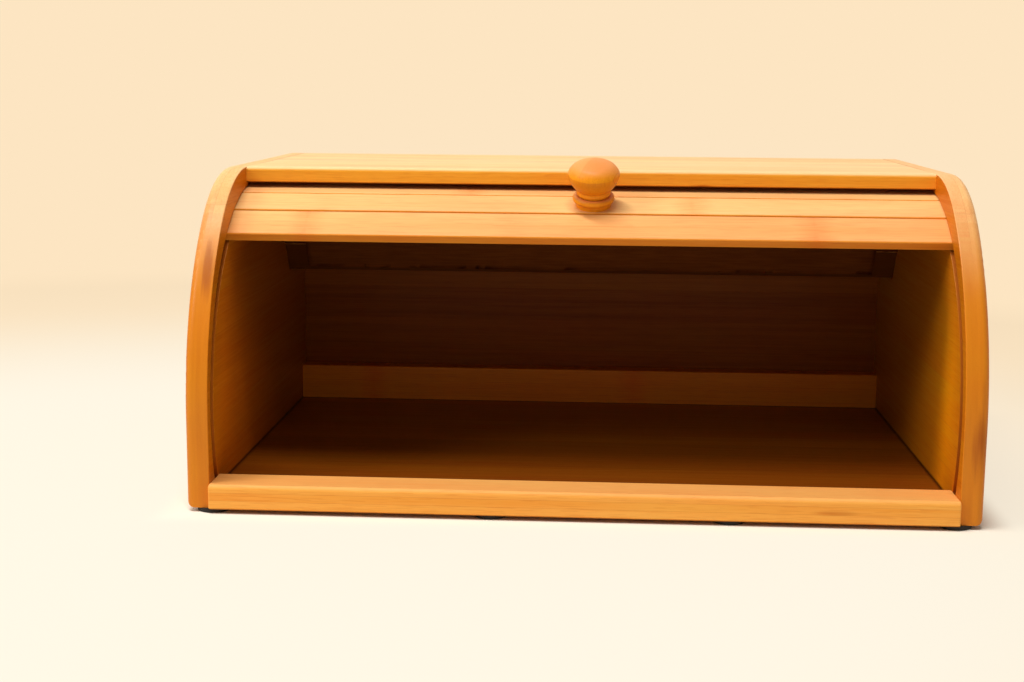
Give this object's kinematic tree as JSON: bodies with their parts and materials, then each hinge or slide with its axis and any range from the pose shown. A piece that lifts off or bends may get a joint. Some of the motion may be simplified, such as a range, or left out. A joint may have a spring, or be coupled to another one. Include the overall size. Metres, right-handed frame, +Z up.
{
  "type": "roll-top bread box",
  "caption": "Wooden bread box with a curved front and a roll-top door of slats that slides up in side grooves, with a turned knob.",
  "frame": {"origin": "on the table, under the middle of the box", "axes": "+X along the box to the right as seen from the front, +Y to the back, +Z up"},
  "size_m": [0.4, 0.27, 0.1779],
  "materials": {
    "bamboo_board": "satin clear varnish on laminated bamboo",
    "bamboo_rail": "satin clear varnish on laminated bamboo",
    "bamboo_slat": "satin clear varnish on laminated bamboo",
    "bamboo_panel": "satin clear varnish on bamboo ply",
    "knob_wood": "satin clear varnish on turned wood",
    "dowel_wood": "raw turned wood",
    "backing_cloth": "plain brown canvas",
    "screw_steel": "zinc plated",
    "foot_rubber": "matt black"
  },
  "bodies": {
    "casing": {"left_side": "bamboo_board", "right_side": "bamboo_board", "front_rail": "bamboo_rail", "rear_rail": "bamboo_rail", "floor_panel": "bamboo_panel", "top_board": "bamboo_board", "back_panel": "bamboo_panel", "front_rail_dowels": "dowel_wood", "rear_rail_dowels": "dowel_wood", "top_board_dowels": "dowel_wood", "foot_front_left": "foot_rubber", "foot_front_mid_left": "foot_rubber", "foot_front_mid_right": "foot_rubber", "foot_front_right": "foot_rubber", "foot_rear_left": "foot_rubber", "foot_rear_mid_left": "foot_rubber", "foot_rear_mid_right": "foot_rubber", "foot_rear_right": "foot_rubber"},
    "door": {"slat_01": "bamboo_slat", "slat_02": "bamboo_slat", "slat_03": "bamboo_slat", "slat_04": "bamboo_slat", "slat_05": "bamboo_slat", "slat_06": "bamboo_slat", "slat_07": "bamboo_slat", "slat_08": "bamboo_slat", "slat_09": "bamboo_slat", "cloth_backing": "backing_cloth", "knob": "knob_wood", "knob_screw": "screw_steel"}
  },
  "joints": [
    {"name": "door_roll", "type": "hinge", "parent": "casing", "child": "door", "pos_m": [0, -0.014, 0.0496], "axis": [1, 0, 0], "range_deg": [0, 70.2]}
  ]
}
